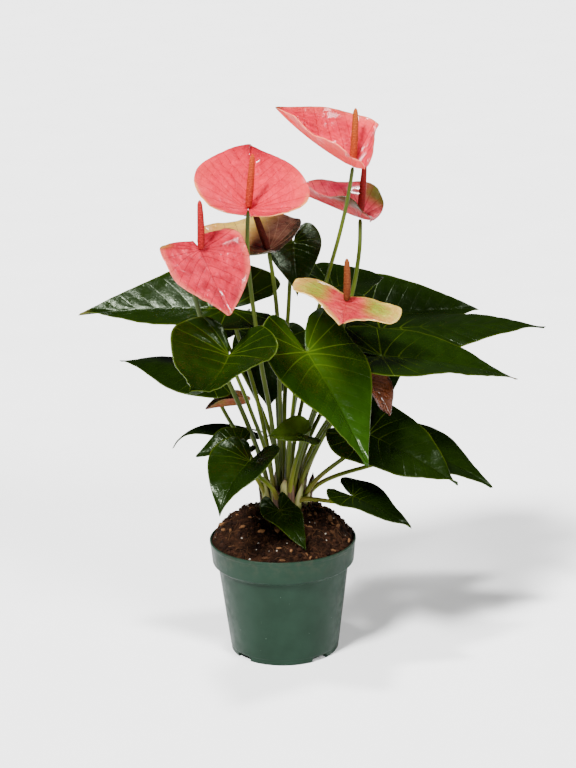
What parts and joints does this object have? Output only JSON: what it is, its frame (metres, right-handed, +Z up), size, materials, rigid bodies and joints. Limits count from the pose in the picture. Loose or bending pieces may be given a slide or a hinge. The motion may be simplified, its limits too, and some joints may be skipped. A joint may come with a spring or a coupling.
{
  "type": "potted anthurium",
  "caption": "Houseplant in a round tapered nursery pot: glossy heart-shaped leaves on long stalks, and waxy pink spathes with upright spadices standing above them.",
  "frame": {"origin": "centre of the flat underside of the pot", "axes": "+Z up along the pot's axis, X across the plant, -Y towards the side that the longest front leaves face"},
  "size_m": [0.3864, 0.2841, 0.4494],
  "materials": {
    "pot_plastic": "satin dark green moulded plastic with a few pale specks",
    "potting_soil": "rough dark brown fibrous peat with bark and white specks",
    "crown_stem": "rough olive brown with dry sheaths",
    "stalk_green": "smooth olive green skin, slightly glossy",
    "leaf_green": "glossy dark green with raised pale veins",
    "leaf_young": "glossy light green",
    "spathe_coral": "waxy coral pink, puckered and glossy",
    "spathe_pink": "waxy pink with dark red veins and peach margins",
    "spathe_dusky": "waxy dusky pink turning green at its lobes",
    "spathe_faded": "faded mauve and cream with dark green lobes",
    "spathe_peach": "cream and peach with a pink middle",
    "spathe_bud": "pinkish green, rolled up",
    "spathe_withered": "dry copper brown",
    "spadix_orange": "finely dotted orange",
    "spadix_red": "finely dotted dark red",
    "spadix_brown": "finely dotted dark brown"
  },
  "bodies": {
    "root": {"crown": "crown_stem", "leaf_back_centre": "leaf_green", "leaf_back_left": "leaf_green", "leaf_back_right": "leaf_green", "leaf_far_left": "leaf_green", "leaf_front_centre": "leaf_green", "leaf_front_left": "leaf_green", "leaf_inner_back": "leaf_green", "leaf_inner_right": "leaf_green", "leaf_long_right": "leaf_green", "leaf_low_left": "leaf_green", "leaf_low_left_back": "leaf_green", "leaf_low_right": "leaf_green", "leaf_low_right_far": "leaf_green", "leaf_low_right_small": "leaf_green", "leaf_lower_right": "leaf_green", "leaf_mid_left": "leaf_green", "leaf_soil_front": "leaf_green", "leaf_thin_left": "leaf_green", "leaf_upper_right": "leaf_green", "leaf_young": "leaf_young", "peduncle_front_left": "stalk_green", "peduncle_low_right": "stalk_green", "peduncle_old_left": "stalk_green", "peduncle_right": "stalk_green", "peduncle_top_left": "stalk_green", "peduncle_top_right": "stalk_green", "petiole_back_centre": "stalk_green", "petiole_back_left": "stalk_green", "petiole_back_right": "stalk_green", "petiole_far_left": "stalk_green", "petiole_front_centre": "stalk_green", "petiole_front_left": "stalk_green", "petiole_inner_back": "stalk_green", "petiole_inner_right": "stalk_green", "petiole_long_right": "stalk_green", "petiole_low_left": "stalk_green", "petiole_low_right": "stalk_green", "petiole_low_right_far": "stalk_green", "petiole_low_right_small": "stalk_green", "petiole_lower_right": "stalk_green", "petiole_mid_left": "stalk_green", "petiole_upper_right": "stalk_green", "pot": "pot_plastic", "soil": "potting_soil", "spadix_front_left": "spadix_red", "spadix_low_right": "spadix_orange", "spadix_old_left": "spadix_brown", "spadix_right": "spadix_red", "spadix_top_left": "spadix_orange", "spadix_top_right": "spadix_orange", "spathe_front_left": "spathe_pink", "spathe_low_right": "spathe_peach", "spathe_old_left": "spathe_faded", "spathe_right": "spathe_dusky", "spathe_rolled_left": "spathe_bud", "spathe_top_left": "spathe_coral", "spathe_top_right": "spathe_coral", "spathe_withered_right": "spathe_withered"}
  },
  "joints": []
}
